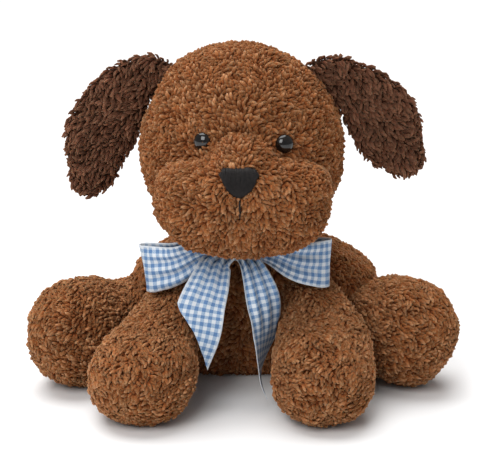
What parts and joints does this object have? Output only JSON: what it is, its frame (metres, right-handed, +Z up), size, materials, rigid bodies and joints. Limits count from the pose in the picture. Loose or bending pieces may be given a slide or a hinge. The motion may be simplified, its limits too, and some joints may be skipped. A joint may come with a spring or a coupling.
{
  "type": "plush dog",
  "caption": "Seated plush puppy with a curly fur cover, dark floppy ears, stitched nose, safety eyes, weighted paws and a checked ribbon bow.",
  "frame": {"origin": "on the flat underside of the seat, on the puppy's middle plane, under the front of the belly", "axes": "+Z up; the puppy looks along -Y; +X is the puppy's own left"},
  "size_m": [0.295, 0.2575, 0.234],
  "materials": {
    "curly_brown_fur": "short curly sherpa pile, matt",
    "curly_dark_fur": "curly pile, dark chocolate, matt",
    "fibre_filling": "white polyester fibre",
    "pellets": "plastic pellets in an inner bag",
    "eye_plastic": "glossy near-black dome",
    "washer_plastic": "moulded locking washer",
    "charcoal_thread": "satin stitched thread with a low sheen",
    "gingham_ribbon": "woven light blue and white checks",
    "label_tape": "blank woven tape"
  },
  "bodies": {
    "torso": {"body_cover": "curly_brown_fur", "body_stuffing": "fibre_filling", "seat_pellet_bag": "pellets", "ribbon_knot": "gingham_ribbon", "ribbon_neck_band": "gingham_ribbon", "left_bow_loop": "gingham_ribbon", "right_bow_loop": "gingham_ribbon", "left_ribbon_tail": "gingham_ribbon", "right_ribbon_tail": "gingham_ribbon", "care_label": "label_tape"},
    "neck": {"neck_stuffing": "fibre_filling"},
    "head": {"head_cover": "curly_brown_fur", "head_stuffing": "fibre_filling", "muzzle_cover": "curly_brown_fur", "muzzle_stuffing": "fibre_filling", "nose_embroidery": "charcoal_thread", "mouth_stitch": "charcoal_thread", "left_eye": "eye_plastic", "right_eye": "eye_plastic", "left_eye_washer": "washer_plastic", "right_eye_washer": "washer_plastic"},
    "tail": {"tail_cover": "curly_brown_fur", "tail_stuffing": "fibre_filling"},
    "left_ear": {"left_ear_cover": "curly_dark_fur", "left_ear_stuffing": "fibre_filling"},
    "left_foreleg": {"left_foreleg_cover": "curly_brown_fur", "left_foreleg_stuffing": "fibre_filling", "left_forepaw_pellet_bag": "pellets"},
    "left_hind_leg": {"left_hind_leg_cover": "curly_brown_fur", "left_hind_leg_stuffing": "fibre_filling", "left_hind_foot_pellet_bag": "pellets"},
    "right_ear": {"right_ear_cover": "curly_dark_fur", "right_ear_stuffing": "fibre_filling"},
    "right_foreleg": {"right_foreleg_cover": "curly_brown_fur", "right_foreleg_stuffing": "fibre_filling", "right_forepaw_pellet_bag": "pellets"},
    "right_hind_leg": {"right_hind_leg_cover": "curly_brown_fur", "right_hind_leg_stuffing": "fibre_filling", "right_hind_foot_pellet_bag": "pellets"}
  },
  "joints": [
    {"name": "head_turn", "type": "hinge", "parent": "torso", "child": "neck", "pos_m": [0, -0.014, 0.098], "axis": [0, 0, 1], "range_deg": [-20, 20]},
    {"name": "head_nod", "type": "hinge", "parent": "neck", "child": "head", "pos_m": [0, -0.014, 0.098], "axis": [-1, 0, 0], "range_deg": [0, 15]},
    {"name": "left_ear_flap", "type": "hinge", "parent": "head", "child": "left_ear", "pos_m": [0.047, -0.012, 0.203], "axis": [0, -1, 0], "range_deg": [-6, 60]},
    {"name": "left_foreleg_lift", "type": "hinge", "parent": "torso", "child": "left_foreleg", "pos_m": [0.041, -0.025, 0.06], "axis": [-1, 0, 0], "range_deg": [0, 14], "deforming": ["left_bow_loop", "left_ribbon_tail"]},
    {"name": "left_hind_leg_splay", "type": "hinge", "parent": "torso", "child": "left_hind_leg", "pos_m": [0.054, 0.034, 0.034], "axis": [0, 0, 1], "range_deg": [0, 30]},
    {"name": "right_ear_flap", "type": "hinge", "parent": "head", "child": "right_ear", "pos_m": [-0.047, -0.012, 0.203], "axis": [0, 1, 0], "range_deg": [-6, 60]},
    {"name": "right_foreleg_lift", "type": "hinge", "parent": "torso", "child": "right_foreleg", "pos_m": [-0.041, -0.025, 0.06], "axis": [-1, 0, 0], "range_deg": [0, 14], "deforming": ["right_bow_loop", "right_ribbon_tail"]},
    {"name": "right_hind_leg_splay", "type": "hinge", "parent": "torso", "child": "right_hind_leg", "pos_m": [-0.054, 0.034, 0.034], "axis": [0, 0, -1], "range_deg": [0, 30]},
    {"name": "tail_wag", "type": "hinge", "parent": "torso", "child": "tail", "pos_m": [0, 0.068, 0.026], "axis": [0, 0, 1], "range_deg": [-25, 25]}
  ]
}
